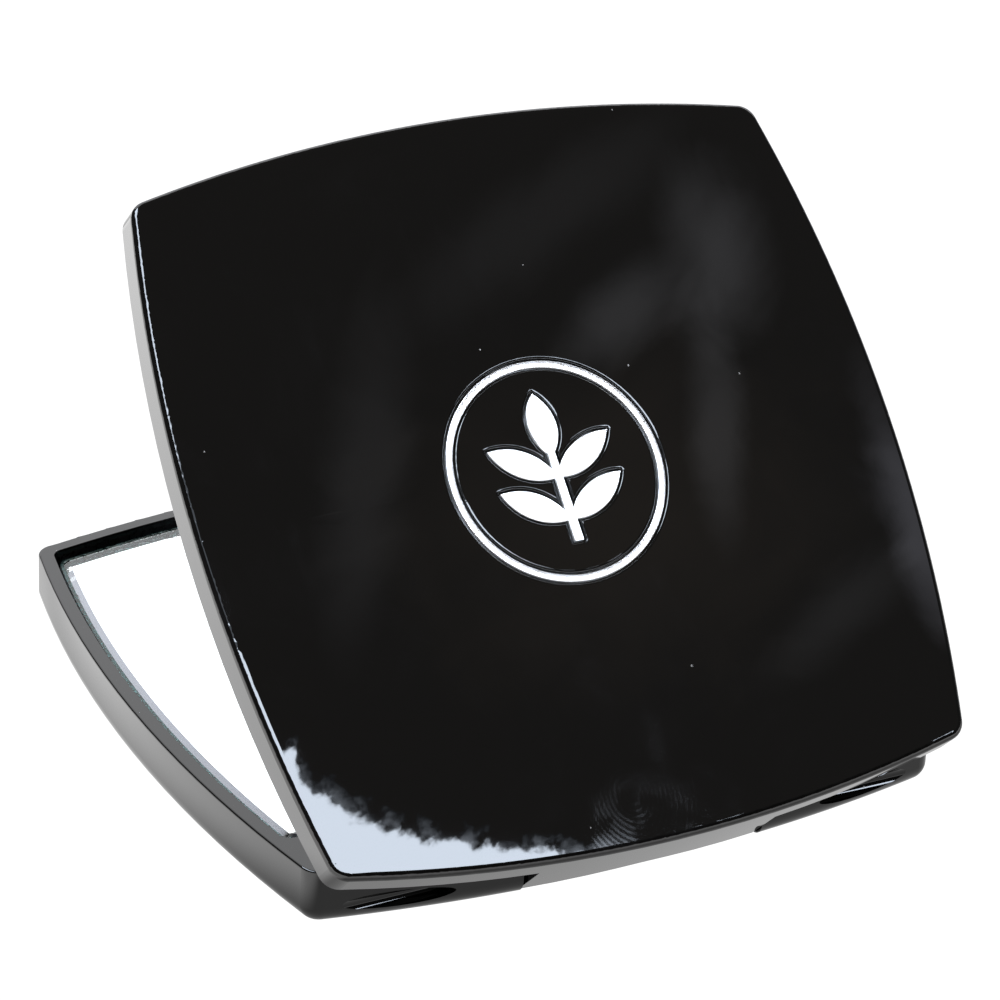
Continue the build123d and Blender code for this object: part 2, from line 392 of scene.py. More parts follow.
@dataclass(frozen=True)
class SatinCover:
    """Spark-textured black moulding of the bottom cover, rubbed shinier where it rests."""

    name: str = "satin_black_cover"
    deep: Colour = (0.010, 0.010, 0.011)
    worn: Colour = (0.028, 0.028, 0.030)
    grain: float = 5.5
    rub_scale: float = 0.09
    rub_polish: float = 0.14

    def build(self) -> bpy.types.Material:
        """Make the material."""
        graph, where = start_finish(self.name)
        grain = graph.noise(where, self.grain, 3.0, 0.65)
        rub = graph.fade(graph.noise(where, self.rub_scale, 4.0, 0.6), 0.42, 0.66)
        graph.set(Base_Color=graph.blend(graph.math("MULTIPLY", rub, grain), self.deep, self.worn),
                  Roughness=graph.math("SUBTRACT", graph.fade(grain, 0.3, 0.7, 0.42, 0.60),
                                       graph.math("MULTIPLY", rub, self.rub_polish)),
                  Normal=graph.bump(grain, 0.02, 0.8), IOR=PLASTIC_IOR)
        return graph.material


@dataclass(frozen=True)
class Silvering:
    """Silver behind glass, which ends in a ragged dark line a little inside the edge."""

    name: str
    silver: Colour = (0.93, 0.95, 0.95)
    tarnish: Colour = (0.004, 0.016, 0.013)
    ragged_line: float = 0.22
    ragged_reach: float = 0.20
    haze: float = 0.05

    def build(self) -> bpy.types.Material:
        """Make the material; it reads each vertex's distance from the glass's edge."""
        graph, where = start_finish(self.name)
        edge = graph.node("Attribute", attribute_name=GlassPlan.EDGE_DISTANCE).outputs["Fac"]
        bite = graph.noise(where, 1.7, 5.0, 0.7, 0.4)
        reach = graph.math("MULTIPLY", graph.math("SUBTRACT", bite, 0.5), 4 * self.ragged_reach)
        lost = graph.fade(graph.math("ADD", edge, reach), self.ragged_line + 0.03,
                          self.ragged_line - 0.03)
        smear = graph.fade(graph.noise(where, 0.11, 5.0, 0.6, 0.5), 0.52, 0.75)
        graph.set(Base_Color=graph.blend(lost, self.silver, self.tarnish),
                  Metallic=graph.math("SUBTRACT", 1.0, lost),
                  Roughness=graph.math("MAXIMUM", graph.math("MULTIPLY", smear, self.haze),
                                       graph.math("MULTIPLY", lost, 0.18)))
        return graph.material


@dataclass(frozen=True)
class ClearGlass:
    """Float glass over the silver, faintly green, with wiping marks and dust."""

    name: str = "clear_mirror_glass"
    clear: Colour = (0.975, 0.99, 0.985)
    dust: Colour = (0.80, 0.80, 0.80)
    smear: float = 0.05
    dust_cell: float = 4.0
    dust_radius: float = 0.05

    def build(self) -> bpy.types.Material:
        """Make the material."""
        graph, where = start_finish(self.name)
        wiped = graph.stretch(where, (0.9, 0.25, 0.5))
        smear = graph.fade(graph.noise(wiped, 0.22, 4.0, 0.6, 0.5), 0.52, 0.75)
        speck, _ = graph.specks(where, self.dust_cell, self.dust_radius)
        graph.set(Base_Color=graph.blend(speck, self.clear, self.dust),
                  Roughness=graph.math("MAXIMUM", graph.math("MULTIPLY", smear, self.smear),
                                       graph.math("MULTIPLY", speck, 0.6)),
                  Transmission_Weight=1.0, IOR=GLASS_IOR)
        return graph.material


@dataclass(frozen=True)
class GroundGlass:
    """Ground or chipped glass at a mirror's edge, with a frosted grain."""

    name: str = "ground_glass_edge"
    pale: Colour = (0.86, 0.93, 0.91)
    dark: Colour = (0.10, 0.17, 0.155)
    metallic: float = 0.75

    def build(self) -> bpy.types.Material:
        """Make the material."""
        graph, where = start_finish(self.name)
        chips = graph.noise(where, 2.6, 4.0, 0.7)
        graph.set(Base_Color=graph.blend(graph.fade(chips, 0.36, 0.50), self.dark, self.pale),
                  Metallic=self.metallic, Roughness=graph.fade(chips, 0.3, 0.7, 0.18, 0.42),
                  Normal=graph.bump(chips, 0.03, 0.5))
        return graph.material


@dataclass(frozen=True)
class BackingPaint:
    """The grey-green paint that protects the silver."""

    name: str = "mirror_backing_paint"
    thin: Colour = (0.020, 0.050, 0.044)
    thick: Colour = (0.006, 0.010, 0.009)

    def build(self) -> bpy.types.Material:
        """Make the material."""
        graph, where = start_finish(self.name)
        coat = graph.noise(graph.stretch(where, (0.2, 1.6, 1.0)), 0.8, 3.0)
        graph.set(Base_Color=graph.blend(coat, self.thin, self.thick),
                  Roughness=graph.fade(coat, 0.3, 0.7, 0.5, 0.65),
                  Normal=graph.bump(coat, 0.02, 0.5))
        return graph.material


@dataclass(frozen=True)
class BrightMetal:
    """Polished white metal of the emblem, with buffing lines and a soft lustre."""

    name: str = "emblem_bright_metal"
    bright: Colour = (0.95, 0.95, 0.96)
    dull: Colour = (0.88, 0.88, 0.90)
    rough_low: float = 0.28
    rough_high: float = 0.38

    def build(self, shut: Matrix) -> bpy.types.Material:
        """Make the material.

        Args:
            shut: the move that takes the surface back to the shut compact's plan.

        Returns:
            The material.
        """
        graph, where = start_finish(self.name, shut)
        lines = graph.noise(graph.stretch(where, (0.35, 6.0, 1.0)), 1.6, 3.0)
        cloud = graph.noise(where, 0.6, 3.0)
        mixed = graph.math("MULTIPLY", lines, cloud)
        graph.set(Base_Color=graph.blend(graph.fade(mixed, 0.15, 0.42), self.bright, self.dull),
                  Metallic=0.72, Roughness=graph.fade(lines, 0.3, 0.7, self.rough_low, self.rough_high),
                  Normal=graph.bump(lines, 0.0002, 0.3))
        return graph.material


@dataclass(frozen=True)
class GroundSteel:
    """Centreless-ground steel of the hinge pins, with rings round the pin and a trace of oil."""

    name: str = "ground_pin_steel"
    steel: Colour = (0.58, 0.58, 0.60)
    oil: Colour = (0.30, 0.27, 0.22)

    def build(self) -> bpy.types.Material:
        """Make the material."""
        graph, where = start_finish(self.name)
        rings = graph.noise(graph.stretch(where, (9.0, 0.3, 0.3)), 1.0, 3.0)
        oily = graph.fade(graph.noise(where, 0.5, 3.0), 0.5, 0.7)
        graph.set(Base_Color=graph.blend(oily, self.steel, self.oil), Metallic=1.0,
                  Roughness=graph.fade(rings, 0.3, 0.7, 0.22, 0.42),
                  Normal=graph.bump(rings, 0.004, 0.6))
        return graph.material


@dataclass(frozen=True)
class FoamPad:
    """Closed-cell adhesive foam, open where it was cut."""

    name: str = "adhesive_foam"
    wall: Colour = (0.05, 0.05, 0.055)
    pore: Colour = (0.012, 0.012, 0.014)
    cell: float = 0.22

    def build(self) -> bpy.types.Material:
        """Make the material."""
        graph, where = start_finish(self.name)
        cells = graph.node("TexVoronoi", {"Vector": where, "Scale": 1 / self.cell}).outputs["Distance"]
        graph.set(Base_Color=graph.blend(graph.fade(cells, 0.25, 0.55), self.pore, self.wall),
                  Roughness=graph.fade(cells, 0.0, 0.6, 0.95, 0.75),
                  Normal=graph.bump(cells, 0.05, 0.9))
        return graph.material


# ---- The hinge and the making of pieces ----

@dataclass(frozen=True)
class Hinge:
    """Where the lid turns, and how far it is open at rest."""

    place: Vector
    open_angle: float

    @staticmethod
    def from_record(joint: str = "lid_hinge") -> "Hinge":
        """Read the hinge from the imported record.

        Args:
            joint: the joint's name.

        Returns:
            The hinge.
        """
        row = next(j for j in frame["joints"] if j["name"] == joint)
        return Hinge(Vector(row["pos_m"]), -math.radians(min(row["range_deg"])))

    def opening(self) -> Matrix:
        """The move from shut to the rest opening."""
        turn = Matrix.Rotation(-self.open_angle, 4, "X")
        return Matrix.Translation(self.place) @ turn @ Matrix.Translation(-self.place)

    def closing(self) -> Matrix:
        """The move from the rest opening to shut."""
        return self.opening().inverted()


class Workshop:
    """Turns meshes into pieces that ride on the frame, and reports them."""

    @staticmethod
    def piece(name: str, mesh: bmesh.types.BMesh, finishes: Iterable[bpy.types.Material],
              body: Body, slot: Slot, stands_for: Optional[str] = None) -> bpy.types.Object:
        """Make a piece.

        Args:
            name: the piece's name.
            mesh: its mesh in the frame, in metres; it is freed.
            finishes: its materials, in the order of its faces' indices.
            body: the body it rides on.
            slot: not used.
            stands_for: the CAD node it replaces, if it replaces one.

        Returns:
            The piece.
        """
        data = bpy.data.meshes.new(name)
        mesh.to_mesh(data)
        mesh.free()
        for finish in finishes:
            data.materials.append(finish)
        made = add_object(name, data)
        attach(made, body.value)
        if stands_for:
            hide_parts(stands_for)
        log.info("%s: %d faces, rides on %s, stands for %s", name, len(data.polygons),
                 body.value, stands_for or "no node of its own")
        return made

    @staticmethod
    def dress(node: str, finish: bpy.types.Material, slot: Slot) -> None:
        """Give a CAD node its finish.

        Args:
            node: the node's name.
            finish: its material.
            slot: not used.
        """
        made = frame["nodes"][node]
        for place in made.material_slots:
            place.material = finish
        log.info("%s: the packed shape, finished in %s", node, finish.name)


# ---- Mirrors ----

@dataclass
class GlassPlan:
    """The outline shared by both mirrors: bowed sides, a straight rear, a notch at the latch."""

    side_radius: float = 134.4571
    side_centre: float = 104.2571
    corner_radius: float = 1.2
    notch_half: float = 5.1
    notch_depth: float = 2.9
    corner_steps: int = 10
    side_steps: int = 44
    EDGE_DISTANCE = "edge_distance"

    def corner(self, c1: Vector, c2: Vector, guess: Vector) -> tuple[Vector, Vector, Vector]:
        """Rounding between two bowed sides.

        Args:
            c1: centre of the first side's arc.
            c2: centre of the second side's arc.
            guess: a point near the corner.

        Returns:
            The rounding's centre, and where it meets the first and the second side.
        """
        reach = self.side_radius - self.corner_radius
        middle, apart = (c1 + c2) / 2, c2 - c1
        across = Vector((-apart.y, apart.x)).normalized()
        rise = math.sqrt(reach ** 2 - (apart.length / 2) ** 2)
        centre = min((middle + across * rise, middle - across * rise), key=lambda p: (p - guess).length)
        meets = [c + (centre - c).normalized() * self.side_radius for c in (c1, c2)]
        return centre, meets[0], meets[1]

    @staticmethod
    def arc(centre: Vector, start: Vector, end: Vector, steps: int) -> list[Vector]:
        """Points on the short arc from start to end.

        Args:
            centre: the arc's centre.
            start: its first point.
            end: its last point.
            steps: how many equal steps it is cut into.

        Returns:
            The points, both ends included.
        """
        a, b = start - centre, end - centre
        turn = math.atan2(a.x * b.y - a.y * b.x, a.dot(b))
        return [centre + Matrix.Rotation(turn * i / steps, 2) @ a for i in range(steps + 1)]

    def outline(self, rear_y: float, front_y: float) -> list[Vector]:
        """The glass's edge, counter-clockwise from above.

        Args:
            rear_y: the straight rear edge.
            front_y: the middle of the bowed front, where the notch starts.

        Returns:
            Its points in millimetres, the last not repeating the first.
        """
        far = self.side_centre
        right, left, front = Vector((-far, 0)), Vector((far, 0)), Vector((0, far))
        edge, low = self.side_radius - far, rear_y - self.corner_radius
        centre_fr, front_end, right_start = self.corner(front, right, Vector((edge, -edge)))
        reach = self.side_radius - self.corner_radius
        centre_rr = Vector((math.sqrt(reach ** 2 - low ** 2) - far, low))
        right_end = right + (centre_rr - right).normalized() * self.side_radius
        rear_start = Vector((centre_rr.x, rear_y))
        notch_y = far - math.sqrt(self.side_radius ** 2 - self.notch_half ** 2)
        half = [Vector((self.notch_half, y)) for y in (front_y + self.notch_depth, notch_y)]
        half += self.arc(front, half[-1], front_end, self.side_steps // 2)[1:]
        half += self.arc(centre_fr, front_end, right_start, self.corner_steps)[1:]
        half += self.arc(right, right_start, right_end, self.side_steps)[1:]
        half += self.arc(centre_rr, right_end, rear_start, self.corner_steps)[1:]
        return half + [Vector((-p.x, p.y)) for p in reversed(half)]

    @staticmethod
    def inset(points: list[Vector], distance: float) -> list[Vector]:
        """The outline moved inwards with mitred corners.

        Args:
            points: a counter-clockwise outline.
            distance: how far.

        Returns:
            As many points.
        """
        moved = []
        for i, point in enumerate(points):
            before, after = point - points[i - 1], points[(i + 1) % len(points)] - point
            n1 = Vector((-before.y, before.x)).normalized()
            n2 = Vector((-after.y, after.x)).normalized()
            moved.append(point + (n1 + n2) * (distance / (1 + n1.dot(n2))))
        return moved


class Blank:
    """A mesh being built; each vertex knows how far in from the glass's edge it is."""

    def __init__(self) -> None:
        """Start with nothing."""
        self.mesh = bmesh.new()
        self.inset = self.mesh.verts.layers.float.new(GlassPlan.EDGE_DISTANCE)

    def loop(self, points: Iterable[Sequence[float]], height: float, inset: float) -> Loop:
        """Add a level loop of vertices.

        Args:
            points: its plan, in millimetres.
            height: its height, in millimetres.
            inset: its distance from the glass's edge.

        Returns:
            Its vertices.
        """
        made = [self.mesh.verts.new((p[0] * MM, p[1] * MM, height * MM)) for p in points]
        for vert in made:
            vert[self.inset] = inset
        return made

    def band(self, lower: Loop, upper: Loop, role: int = 0, smooth: bool = True) -> None:
        """Join two loops of as many vertices with quads.

        Args:
            lower: the loop that the quads start from.
            upper: the loop above or inside it.
            role: the quads' material.
            smooth: whether they are shaded smooth.
        """
        for i in range(len(lower)):
            quad = self.mesh.faces.new((lower[i - 1], lower[i], upper[i], upper[i - 1]))
            quad.material_index, quad.smooth = role, smooth

    def span(self, outer: Loop, inner: Loop, smooth: bool) -> None:
        """Fill the level ground between two loops with triangles that look up.

        Args:
            outer: the outer loop.
            inner: the loop inside it.
            smooth: whether they are shaded smooth.
        """
        verts = outer + inner
        for corners in tessellate_polygon([[v.co for v in outer], [v.co for v in inner]]):
            face = self.mesh.faces.new([verts[i] for i in corners])
            face.normal_update()
            if face.normal.z < 0:
                face.normal_flip()
            face.smooth = smooth

    def crease(self, loop: Loop) -> None:
        """Keep the shading sharp along a loop that bands already join."""
        for a, b in zip(loop, loop[1:] + loop[:1]):
            self.mesh.edges.get((a, b)).smooth = False


@dataclass
class MirrorGlass:
    """One piece of silvered glass, built face up and then put in place."""

    name: str
    node: str
    body: Body
    thickness: float
    face_z: float
    plan: GlassPlan = field(default_factory=GlassPlan)
    bevel_width: float = 0.0
    bevel_depth: float = 0.0
    arris: float = 0.10
    arris_share: float = 0.36
    margin: float = 0.25
    hollow_radius: float = 0.0
    hollow_depth: float = 0.0
    hollow_y: float = 0.0
    hollow_inset: float = 2.0
    hollow_rings: int = 16
    hollow_steps: int = 96
    rear_y: float = 23.1
    front_y: float = -30.1

    def profile(self) -> list[tuple[float, float, Role]]:
        """The rim's section from the back to the face.

        Returns:
            Inset, height, and what the band up to the next level is made of.
        """
        back, top = self.face_z - self.thickness, self.face_z
        levels = [(self.arris, back, Role.EDGE), (0.0, back + self.arris, Role.EDGE)]
        if self.bevel_width:
            foot, lip = top - self.bevel_depth, self.arris_share
            levels += [(0.0, foot, Role.ARRIS),
                       (self.bevel_width * lip, foot + self.bevel_depth * lip, Role.BEVEL),
                       (self.bevel_width, top, Role.SILVER)]
        else:
            levels += [(0.0, top - self.arris, Role.BEVEL), (self.arris, top, Role.SILVER)]
        return levels

    def build(self, finishes: dict[Role, bpy.types.Material], move: Matrix) -> bpy.types.Object:
        """Make the glass.

        Args:
            finishes: a material for each kind of band.
            move: from face up on the base to its place in the frame.

        Returns:
            The piece.
        """
        blank = Blank()
        edge = self.plan.outline(self.rear_y, self.front_y)
        levels = self.profile()
        loops = [blank.loop(self.plan.inset(edge, inset), height, inset) for inset, height, _ in levels]
        for (lower, upper), (_, _, role) in zip(zip(loops, loops[1:]), levels):
            blank.band(lower, upper, role.value)
            blank.crease(upper)
        blank.crease(loops[0])
        blank.mesh.faces.new(list(reversed(loops[0]))).material_index = Role.BACK.value
        rim = loops[-1]
        margin = self.plan.inset([v.co.xy / MM for v in rim], self.margin)
        inner = blank.loop(margin, self.face_z, rim[0][blank.inset] + self.margin)
        blank.band(rim, inner)
        if self.hollow_radius:
            self.hollow_face(blank, inner)
        else:
            blank.mesh.faces.new(inner).smooth = True
        blank.mesh.transform(move)
        blank.mesh.normal_update()
        return Workshop.piece(self.name, blank.mesh, [finishes[r] for r in Role], self.body,
                              Slot.GLASS, self.node)

    def hollow_face(self, blank: Blank, rim: Loop) -> None:
        """Close the face with a flat surround and a shallow spherical hollow.

        Args:
            blank: the glass so far.
            rim: the margin's inner loop.
        """
        radius = (self.hollow_radius ** 2 + self.hollow_depth ** 2) / (2 * self.hollow_depth)
        turns = [2 * math.pi * i / self.hollow_steps for i in range(self.hollow_steps)]
        rings = []
        for step in range(self.hollow_rings):
            r = self.hollow_radius * (1 - step / self.hollow_rings)
            sink = self.hollow_depth - radius + math.sqrt(radius ** 2 - r ** 2)
            ring = [(r * math.cos(a), self.hollow_y + r * math.sin(a)) for a in turns]
            rings.append(blank.loop(ring, self.face_z - sink, self.hollow_inset))
        blank.span(rim, rings[0], True)
        for outer, inner in zip(rings, rings[1:]):
            blank.band(outer, inner)
        lowest = self.face_z - self.hollow_depth
        centre = blank.loop([(0.0, self.hollow_y)], lowest, self.hollow_inset)[0]
        for i in range(self.hollow_steps):
            blank.mesh.faces.new((rings[-1][i - 1], rings[-1][i], centre)).smooth = True
        blank.crease(rings[0])


@dataclass
class SilverSheet:
    """The silver behind the base's clear glass, which flakes away raggedly before the edge."""

    name: str = "base_mirror_silver"
    plan: GlassPlan = field(default_factory=lambda: GlassPlan(corner_radius=2.6))
    height: float = 3.18
    thickness: float = 0.01
    margin: float = 0.50
    flake: float = 0.26
    inner_margin: float = 2.0
    tarnish_width: float = 0.35
    pitch: float = 0.10
    coarse_scale: float = 1.3
    coarse_share: float = 0.9
    fine_scale: float = 5.0
    fine_share: float = 0.55
    least_bite: float = 0.25
    rear_y: float = 23.1
    front_y: float = -30.1

    def ragged(self) -> list[Vector]:
        """The silver's edge, counter-clockwise from above, in millimetres."""
        edge = self.plan.inset(self.plan.outline(self.rear_y, self.front_y), self.margin)
        fine = []
        for start, end in zip(edge, edge[1:] + edge[:1]):
            steps = max(1, round((end - start).length / self.pitch))
            fine += [start.lerp(end, i / steps) for i in range(steps)]
        bitten = []
        for i, point in enumerate(fine):
            along = fine[(i + 1) % len(fine)] - fine[i - 1]
            inward = Vector((-along.y, along.x)).normalized()
            coarse = noise.noise(Vector((*(c * self.coarse_scale for c in point), 0.0)))
            grain = noise.noise(Vector((*(c * self.fine_scale for c in point), 7.0)))
            bite = self.least_bite + self.coarse_share * coarse + self.fine_share * grain
            bitten.append(point + inward * (self.flake * max(0.0, bite)))
        return bitten

    def build(self, finish: bpy.types.Material) -> bpy.types.Object:
        """Make the sheet.

        Args:
            finish: its material.

        Returns:
            The piece.
        """
        blank = Blank()
        edge = self.ragged()
        inner = self.plan.inset(self.plan.outline(self.rear_y, self.front_y), self.inner_margin)
        top = self.height + self.thickness
        lower, upper = (blank.loop(edge, z, self.tarnish_width / 2) for z in (self.height, top))
        middle = blank.loop(inner, top, self.inner_margin / 2)
        blank.mesh.faces.new(list(reversed(lower)))
        blank.band(lower, upper, smooth=False)
        blank.span(upper, middle, False)
        blank.mesh.faces.new(middle)
        return Workshop.piece(self.name, blank.mesh, [finish], Body.BASE, Slot.GLASS)


# ---- Emblem ----

@dataclass
class Emblem:
    """A leaf sprig in a ring, let into the lid and standing just proud of it."""

    half_width: float = 32.0
    crown: float = 0.3
    lid_top: float = 8.9
    inlay: float = 0.28
    proud: float = 0.03
    edge: float = 0.07
    ring_outer: float = 9.64
    ring_width: float = 0.6
    ring_dome: float = 0.012
    ring_steps: int = 256
    stem_width: float = 0.9
    stem_taper: float = 0.18
    stem_lift: float = 0.02
    leaf_drop: float = 0.003
    stem_bottom: float = 6.2
    stem_top: float = -2.0
    end_root: float = -1.2
    end_leaf: Point2 = (5.6, 2.6)
    side_leaf: Point2 = (6.4, 2.3)
    side_angle: float = 60.0
    side_roots: Point2 = (4.3, 0.6)
    midrib: float = 0.10
    midrib_depth: float = 0.06
    leaf_steps: int = 40

    def surface(self, x: float, y: float) -> float:
        """Height of the shut lid's crown."""
        radius = (self.half_width ** 2 + self.crown ** 2) / (2 * self.crown)
        return self.lid_top - radius + math.sqrt(radius ** 2 - x * x - y * y)

    def ring(self, finish: bpy.types.Material, opening: Matrix) -> bpy.types.Object:
        """Turn the ring.

        Args:
            finish: its material.
            opening: the move from shut to rest.

        Returns:
            The piece.
        """
        mesh = bmesh.new()
        outer, inner = self.ring_outer, self.ring_outer - self.ring_width
        top, middle = self.surface(outer, 0) + self.proud, (outer + inner) / 2
        foot = self.lid_top - self.inlay
        e, third = self.edge, self.edge / 3
        section = [(inner, foot), (inner, top - e), (inner + third, top - third), (inner + e, top),
                   (middle, top + self.ring_dome), (outer - e, top), (outer - third, top - third),
                   (outer, top - e), (outer, foot)]
        turns = []
        for i in range(self.ring_steps):
            a = 2 * math.pi * i / self.ring_steps
            turns.append([mesh.verts.new((r * math.cos(a) * MM, r * math.sin(a) * MM, z * MM))
                          for r, z in section])
        for i in range(self.ring_steps):
            one, two = turns[i - 1], turns[i]
            for k in range(len(section)):
                face = mesh.faces.new((one[k - 1], two[k - 1], two[k], one[k]))
                face.smooth = 0 < k < len(section)
        for turn in turns:
            for k in (0, len(section) - 1):
                for link in turn[k].link_edges:
                    link.smooth = False
        bmesh.ops.recalc_face_normals(mesh, faces=mesh.faces)
        mesh.transform(opening)
        return Workshop.piece("emblem_ring_turned", mesh, [finish], Body.LID, Slot.EMBLEM,
                              "emblem_ring")

    def blade(self, length: float, half_width: Callable[[float], float], root_y: float,
              angle: float, lift: float, rib: bool) -> bmesh.types.BMesh:
        """One closed strip of metal with bevelled sides, along -Y before it is turned.

        Args:
            length: root to tip.
            half_width: half its width as a function of the distance from the root.
            root_y: where the root stands on the stem.
            angle: degrees it is turned about its root.
            lift: extra height of its top.
            rib: whether a midrib is engraved.

        Returns:
            The mesh, in metres on the shut lid.
        """
        mesh = bmesh.new()
        turn = Matrix.Rotation(math.radians(angle), 2)
        rows = []
        for i in range(self.leaf_steps + 1):
            along = length * i / self.leaf_steps
            half = max(half_width(along), 0.02)
            bevel, groove = min(self.edge, 0.4 * half), min(self.midrib / 2, 0.2 * half)
            cut = self.midrib_depth * groove / (self.midrib / 2) if rib else 0.0
            across = [(-half, -self.inlay), (-half, -bevel), (-half + bevel, 0.0), (-groove, 0.0),
                      (0.0, -cut), (groove, 0.0), (half - bevel, 0.0), (half, -bevel),
                      (half, -self.inlay)]
            row = []
            for x, drop in across:
                flat = turn @ Vector((x, -along)) + Vector((0, root_y))
                height = self.surface(*flat) + self.proud + lift + drop
                row.append(mesh.verts.new((flat.x * MM, flat.y * MM, height * MM)))
            rows.append(row)
        for one, two in zip(rows, rows[1:]):
            for k in range(len(one)):
                mesh.faces.new((one[k - 1], one[k], two[k], two[k - 1]))
        mesh.faces.new(rows[0])
        mesh.faces.new(list(reversed(rows[-1])))
        bmesh.ops.recalc_face_normals(mesh, faces=mesh.faces)
        return mesh

    @staticmethod
    def leaf_width(length: float, width: float) -> Callable[[float], float]:
        """Half the width of a leaf bounded by two arcs, as a function of the distance from its root."""
        half = width / 2
        radius = (length ** 2 / 4 + half ** 2) / (2 * half)
        return lambda along: math.sqrt(radius ** 2 - (along - length / 2) ** 2) - radius + half

    def stem_half(self, along: float) -> float:
        """Half the stem's width, which tapers from its foot."""
        return self.stem_width / 2 * (1 - self.stem_taper * along / (self.stem_bottom - self.stem_top))

    def sprig(self, finish: bpy.types.Material, opening: Matrix) -> bpy.types.Object:
        """Cut the sprig: every leaf is welded to the stem.

        Args:
            finish: its material.
            opening: the move from shut to rest.

        Returns:
            The piece.
        """
        stem_length = self.stem_bottom - self.stem_top
        parts = [self.blade(stem_length, self.stem_half, self.stem_bottom, 0.0, self.stem_lift, False),
                 self.blade(self.end_leaf[0], self.leaf_width(*self.end_leaf), self.end_root, 0.0,
                            0.0, True)]
        for step, root in enumerate(self.side_roots):
            for side in (-1, 1):
                lift = -self.leaf_drop * (2 * step + (side + 1) / 2 + 1)
                parts.append(self.blade(self.side_leaf[0], self.leaf_width(*self.side_leaf), root,
                                        side * self.side_angle, lift, True))
        welded = self.weld(parts)
        welded.transform(opening)
        return Workshop.piece("emblem_sprig_cut", welded, [finish], Body.LID, Slot.EMBLEM,
                              "emblem_sprig")

    @staticmethod
    def weld(parts: list[bmesh.types.BMesh]) -> bmesh.types.BMesh:
        """Join closed meshes into one skin.

        Args:
            parts: the meshes; they are freed.

        Returns:
            Their union.
        """
        made = []
        for i, part in enumerate(parts):
            part.transform(Matrix.Scale(1 / MM, 4))
            data = bpy.data.meshes.new(f"blade_{i}")
            part.to_mesh(data)
            part.free()
            made.append(add_object(f"blade_{i}", data))
        for other in made[1:]:
            joint = made[0].modifiers.new(other.name, "BOOLEAN")
            joint.operation, joint.solver, joint.object = "UNION", "EXACT", other
        bpy.context.view_layer.update()
        whole = made[0].evaluated_get(bpy.context.evaluated_depsgraph_get())
        welded = bmesh.new()
        welded.from_mesh(whole.to_mesh())
        for piece in made:
            data = piece.data
            bpy.data.objects.remove(piece)
            bpy.data.meshes.remove(data)
        bmesh.ops.remove_doubles(welded, verts=welded.verts, dist=0.0005)
        welded.transform(Matrix.Scale(MM, 4))
        return welded


# ---- The two halves ----

@dataclass
class BaseHalf:
    """The base: shell, bottom cover, pad, bevelled mirror and the two pins pressed into it."""

    gloss: GlossBlack = GlossBlack(
        "piano_black_base",
        prints=(PrintSpot((-14.0, -30.5), (6.5, 5.0), 15.0),
                PrintSpot((13.0, -29.0), (7.0, 5.5), -12.0)))
    mirror: MirrorGlass = field(default_factory=lambda: MirrorGlass(
        "base_mirror_bevelled", "base_mirror", Body.BASE, thickness=1.5, face_z=4.65,
        bevel_width=0.8, bevel_depth=0.3))
    silver: SilverSheet = field(default_factory=SilverSheet)

    def build(self, glass: dict[Role, bpy.types.Material]) -> None:
        """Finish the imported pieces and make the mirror.

        Args:
            glass: the mirror's materials.
        """
        Workshop.dress("base_shell", self.gloss.build(), Slot.CASE)
        Workshop.dress("base_bottom_plate", SatinCover().build(), Slot.COVER)
        Workshop.dress("base_mirror_pad", FoamPad().build(), Slot.PAD)
        steel = GroundSteel().build()
        for pin in ("hinge_pin_left", "hinge_pin_right"):
            Workshop.dress(pin, steel, Slot.PIN)
        clear = ClearGlass().build()
        self.mirror.build({**glass, Role.SILVER: clear, Role.BEVEL: clear}, Matrix.Identity(4))
        self.silver.build(glass[Role.SILVER])


@dataclass
class LidHalf:
    """The lid: shell with the knuckle and hook, pad, magnifying mirror and emblem."""

    hinge: Hinge
    gloss: GlossBlack = GlossBlack(
        "piano_black_lid",
        prints=(PrintSpot((2.2, 30.0), (6.4, 5.2), 8.0, 0.40, 0.36),
                PrintSpot((-3.6, 29.4), (4.4, 3.6), -20.0, 0.42, 0.22),
                PrintSpot((19.0, 9.0), (6.0, 7.5), -35.0, strength=0.10)))
    mirror: MirrorGlass = field(default_factory=lambda: MirrorGlass(
        "lid_mirror_hollow", "lid_mirror", Body.LID, thickness=1.3, face_z=-5.85,
        arris=0.15, hollow_radius=24.5, hollow_depth=0.35, hollow_y=-2.2))
    emblem: Emblem = field(default_factory=Emblem)

    def build(self, glass: dict[Role, bpy.types.Material]) -> None:
        """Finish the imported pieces, and make the mirror and the emblem.

        Args:
            glass: the mirror's materials.
        """
        opening, closing = self.hinge.opening(), self.hinge.closing()
        Workshop.dress("lid_shell", self.gloss.build(closing), Slot.CASE)
        Workshop.dress("lid_mirror_pad", frame["nodes"]["base_mirror_pad"].material_slots[0].material,
                       Slot.PAD)
        self.mirror.build(glass, opening @ Matrix.Rotation(math.pi, 4, "Y"))
        metal = BrightMetal().build(closing)
        self.emblem.ring(metal, opening)
        self.emblem.sprig(metal, opening)


# ---- Studio ----

